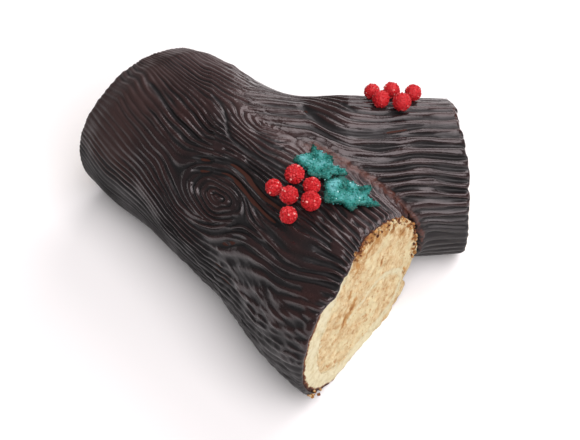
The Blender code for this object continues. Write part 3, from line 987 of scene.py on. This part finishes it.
class Look:
    """A material built from nodes."""

    def __init__(self, name, **sockets):
        self.material = bpy.data.materials.new(name)
        self.material.use_nodes = True
        self.tree = self.material.node_tree
        self.shader = self.tree.nodes["Principled BSDF"]
        self.set(**sockets)
        self.places = self.node("TexCoord").outputs["Object"]

    def give(self, socket, value):
        """Give a socket a number, a colour or another node's output."""
        if isinstance(value, (int, float)):
            socket.default_value = value
        elif isinstance(value, tuple):
            socket.default_value = (*value, 1.0)
        else:
            self.tree.links.new(value, socket)

    def feed(self, node, **sockets):
        """Give a node's sockets values, each named in small letters, with _ for a space."""
        for name, value in sockets.items():
            self.give(node.inputs[name.replace("_", " ").title().replace("Ior", "IOR")], value)

    def set(self, **sockets):
        """Give the surface itself values."""
        self.feed(self.shader, **sockets)

    def node(self, kind, **sockets):
        made = self.tree.nodes.new(f"ShaderNode{kind}")
        self.feed(made, **sockets)
        return made

    def noise(self, scale, detail=2.0, roughness=0.5):
        made = self.node("TexNoise", vector=self.places, scale=scale, detail=detail, roughness=roughness)
        return made.outputs["Fac"]

    def shade(self, name):
        made = self.node("Attribute")
        made.attribute_name = name
        return made.outputs["Fac"]

    def ramp(self, value, *stops):
        """A colour ramp with stops at (place, red, green, blue)."""
        made = self.node("ValToRGB", fac=value)
        marks = made.color_ramp.elements
        while len(marks) < len(stops):
            marks.new(0.5)
        for mark, (place, *colour) in zip(marks, stops):
            mark.position = place
            mark.color = (*colour, 1.0)
        return made.outputs["Color"]

    def range(self, value, low, high, to_low=0.0, to_high=1.0):
        """A smooth step between two values of a value."""
        made = self.node("MapRange", value=value, from_min=low, from_max=high, to_min=to_low,
                         to_max=to_high)
        made.interpolation_type = "SMOOTHSTEP"
        return made.outputs["Result"]

    def sum(self, a, b, operation="ADD"):
        made = self.node("Math")
        made.operation = operation
        for i, value in enumerate((a, b)):
            self.give(made.inputs[i], value)
        return made.outputs["Value"]

    def uneven(self, amount, scale, detail, roughness):
        """Noise about 0."""
        centred = self.sum(self.noise(scale, detail, roughness), 0.5, "SUBTRACT")
        return self.sum(centred, amount, "MULTIPLY")

    def mix(self, share, a, b):
        """A colour that turns from a to b as the share goes from 0 to 1."""
        made = self.node("Mix")
        made.data_type = "RGBA"
        for i, value in zip((0, 6, 7), (share, a, b)):
            self.give(made.inputs[i], value)
        return made.outputs[2]

    def tint(self, tone, colour, value, low, high, most=1.0):
        """A tone turned towards a colour as a value rises."""
        return self.mix(self.range(value, low, high, 0.0, most), tone, colour)

    def bump(self, height, distance, strength=1.0):
        made = self.node("Bump", height=height, distance=distance, strength=strength)
        self.set(normal=made.outputs["Normal"])


def chocolate_look():
    """Dark glossy chocolate, redder in broad patches, brown and dull where it has crumbled; painted
    shade makes it near black in its grooves and on its low sides, and a painted sheen makes the log's
    crest and left side lighter and redder.
    """
    look = Look("chocolate", coat_weight=0.16, coat_roughness=0.1, specular_ior_level=0.42,
                specular_tint=(1.0, 0.92, 0.94))
    tone = look.ramp(look.noise(38, 3.0), (0.35, 0.018, 0.0125, 0.013), (0.68, 0.034, 0.016, 0.015))
    tone = look.tint(tone, (0.036, 0.018, 0.016), look.shade("dull"), 0.0, 1.0, 0.8)
    # Painted sheen: lighter and redder on the log's crest and left side.
    tone = look.tint(tone, (0.052, 0.030, 0.029), look.shade("painted_sheen"), 0.0, 1.0, 0.8)
    # Painted shade: near black in the grooves' depth and on the low sides, where shade falls.
    tone = look.tint(tone, (0.009, 0.009, 0.0095), look.shade("groove"), 0.1, 0.6)
    crumbs = look.sum(look.shade("crumbs"), look.noise(420, 3.0, 0.6), "MULTIPLY")
    tone = look.tint(tone, (0.09, 0.03, 0.02), crumbs, 0.25, 0.55, 0.8)
    look.set(base_color=tone)
    shine = look.range(look.noise(150, 3.0), 0.35, 0.65, 0.15, 0.28)
    shine = look.sum(shine, look.range(look.shade("groove"), 0.25, 0.9, 0.0, 0.42))
    look.set(roughness=look.sum(shine, look.range(look.shade("dull"), 0.0, 1.0, 0.0, 0.4)))
    look.bump(look.noise(700, 3.0), 0.0004, 0.5)
    return look.material


def crumb_colour(look):
    """Open tan crumb with toasted patches, and pale yellow cream that soaks into it unevenly."""
    cake = look.ramp(look.noise(230, 4.0, 0.65), (0.32, 0.46, 0.28, 0.12), (0.5, 0.635, 0.48, 0.27),
                     (0.66, 0.74, 0.64, 0.395))
    cake = look.tint(cake, (0.71, 0.64, 0.40), look.noise(85, 3.0), 0.46, 0.62, 0.65)
    cake = look.tint(cake, (0.45, 0.22, 0.08), look.noise(430, 2.0), 0.60, 0.72, 0.8)
    cake = look.tint(cake, (0.30, 0.15, 0.06), look.noise(760, 2.0), 0.65, 0.73, 0.7)
    toast = look.sum(look.shade("toast"), look.uneven(1.6, 300, 3.0, 0.65))
    cake = look.tint(cake, (0.42, 0.20, 0.05), toast, 0.3, 0.75, 0.85)
    cake = look.tint(cake, (0.22, 0.08, 0.02), toast, 0.75, 1.15, 0.8)
    cream = look.ramp(look.noise(240, 4.0, 0.7), (0.3, 0.54, 0.45, 0.25), (0.55, 0.70, 0.645, 0.44))
    soaked = look.sum(look.shade("cream"), look.uneven(9.0, 210, 4.0, 0.7))
    share = look.range(soaked, -1.2, 1.2)
    brown_edge(look, look.mix(share, cream, cake))


def sponge_look():
    """The cake's crumb."""
    look = Look("sponge_crumb", roughness=0.9, specular_ior_level=0.25)
    crumb_colour(look)
    look.bump(look.noise(800, 4.0, 0.6), 0.0009, 0.8)
    return look.material


def cream_look():
    """Cream: coloured as the crumb is, and smoother."""
    look = Look("vanilla_cream", roughness=0.75, specular_ior_level=0.3)
    crumb_colour(look)
    look.bump(look.noise(800, 3.0), 0.0006, 0.7)
    return look.material


def brown_edge(look, tone):
    """Toasted red-brown where a cut end meets the icing, uneven in width."""
    uneven = look.sum(look.noise(330, 3.0, 0.6), 4.5, "MULTIPLY")
    reach = look.sum(look.shade("edge"), uneven, "SUBTRACT")
    tone = look.mix(look.range(reach, -1.2, -0.2), (0.20, 0.07, 0.025), tone)
    look.set(base_color=look.mix(look.range(reach, -2.0, -1.1), (0.05, 0.014, 0.008), tone))


def sugared_looks(name, tones, glint_colour):
    """A coloured sugar body, and its crystals in its dark, main and light tones, a few of them pale:
    partly the sugar's own paleness, partly painted glints.
    """
    body = Look(f"{name}_sugar", roughness=0.5, specular_ior_level=0.3)
    uneven = body.uneven(0.8, 380, 3.0, 0.6)
    stops = [(0.1, *tones[0]), (0.5, *tones[1]), (0.85, *tones[2])]
    body.set(base_color=body.ramp(body.sum(body.shade("grain"), uneven), *stops))
    body.bump(body.noise(1300, 3.0), 0.0005, 0.8)
    grains = Look(f"{name}_crystals", roughness=0.42, specular_ior_level=0.35)
    tone = grains.ramp(grains.shade("grain"), *stops, (0.96, *tones[2]), (1.0, *glint_colour))
    grains.set(base_color=tone)
    return body.material, grains.material


# Stage -----------------------------

TARGET = (27.76, 8.09, 45.0)
AZIMUTH = 52.62
ELEVATION = 51.23
ROLL = -2.594
DISTANCE = 743.9
LENS = 81.72


def make_camera():
    azimuth = math.radians(AZIMUTH)
    elevation = math.radians(ELEVATION)
    back = Vector((math.sin(azimuth) * math.cos(elevation), -math.cos(azimuth) * math.cos(elevation),
                   math.sin(elevation)))
    right = Vector((math.cos(azimuth), math.sin(azimuth), 0.0))
    up = back.cross(right)
    facing = Matrix((right, up, back)).transposed() @ Matrix.Rotation(math.radians(ROLL), 3, "Z")
    data = bpy.data.cameras.new("camera")
    data.lens = LENS
    data.clip_start = 0.01
    camera = added("camera", data)
    place = (Vector(TARGET) + Vector(BASE) + back * DISTANCE) * MM
    camera.matrix_world = Matrix.Translation(place) @ facing.to_4x4()
    bpy.context.scene.camera = camera


def make_light(name, place, aim, size, watts, colour=(1.0, 1.0, 1.0)):
    data = bpy.data.lights.new(name, "AREA")
    data.shape = "RECTANGLE"
    data.size, data.size_y = size
    data.energy = watts
    data.color = colour
    light = added(name, data)
    light.location = place
    light.rotation_euler = (Vector(aim) - Vector(place)).to_track_quat("-Z", "Y").to_euler()


def make_stage():
    pick()
    bpy.ops.mesh.primitive_plane_add(size=6.0, location=(0, 0, -0.0002))
    floor = bpy.context.active_object
    floor.name = "floor"
    look = Look("pale_floor", roughness=0.9, specular_ior_level=0.1, emission_strength=0.05,
                emission_color=(1.0, 1.0, 1.0))
    look.set(base_color=look.ramp(look.noise(3.0), (0.0, 0.90, 0.90, 0.90), (1.0, 0.92, 0.92, 0.92)))
    floor.data.materials.append(look.material)
    world = bpy.data.worlds.new("studio")
    bpy.context.scene.world = world
    world.use_nodes = True
    sky = world.node_tree.nodes["Background"].inputs
    sky["Color"].default_value = (1.0, 1.0, 1.0, 1.0)
    sky["Strength"].default_value = 0.13
    rose = (1.0, 0.94, 0.95)
    make_light("right_softbox", (1.0, -0.1, 1.75), (0.0, 0.0, 0.05), (1.9, 1.9), 52.0, rose)
    make_light("back_softbox", (-0.46, 1.75, 1.3), (0.0, 0.0, 0.05), (2.0, 1.5), 32.0, rose)
    bpy.context.scene.view_settings.view_transform = "Standard"


def main():
    rng = np.random.default_rng(5)
    chocolate = chocolate_look()
    make_icing(chocolate)
    sponge = sponge_look()
    cream = cream_look()
    far = LOG.ends[0] + FAR_END_IN
    make_roll("log", LOG, far, ((LOG.ends[1], 1), (far, -1)), 56, sponge, cream, rng)
    make_roll("branch", BRANCH, BRANCH_START, ((BRANCH.ends[1], 1),), 48, sponge, cream, rng)
    # The last colour of each look is for the few pale crystals, partly painted glints.
    red, red_grains = sugared_looks("berry", ((0.36, 0.006, 0.009), (0.52, 0.012, 0.018),
                                              (0.64, 0.028, 0.034)), (0.85, 0.38, 0.34))
    for i in range(6):
        make_berry(f"log_berry_{i + 1}", red, red_grains, rng, grains=420, grain_size=0.75)
    for i in range(5):
        make_berry(f"branch_berry_{i + 1}", red, red_grains, rng, grains=260, grain_size=0.5)
    green, green_grains = sugared_looks("holly", ((0.003, 0.068, 0.053), (0.022, 0.235, 0.205),
                                                  (0.12, 0.40, 0.41)), (0.5, 0.8, 0.8))
    for node, (place, outline) in LEAVES.items():
        make_leaf(node, place, outline, green, green_grains, rng)
    make_camera()
    make_stage()


main()
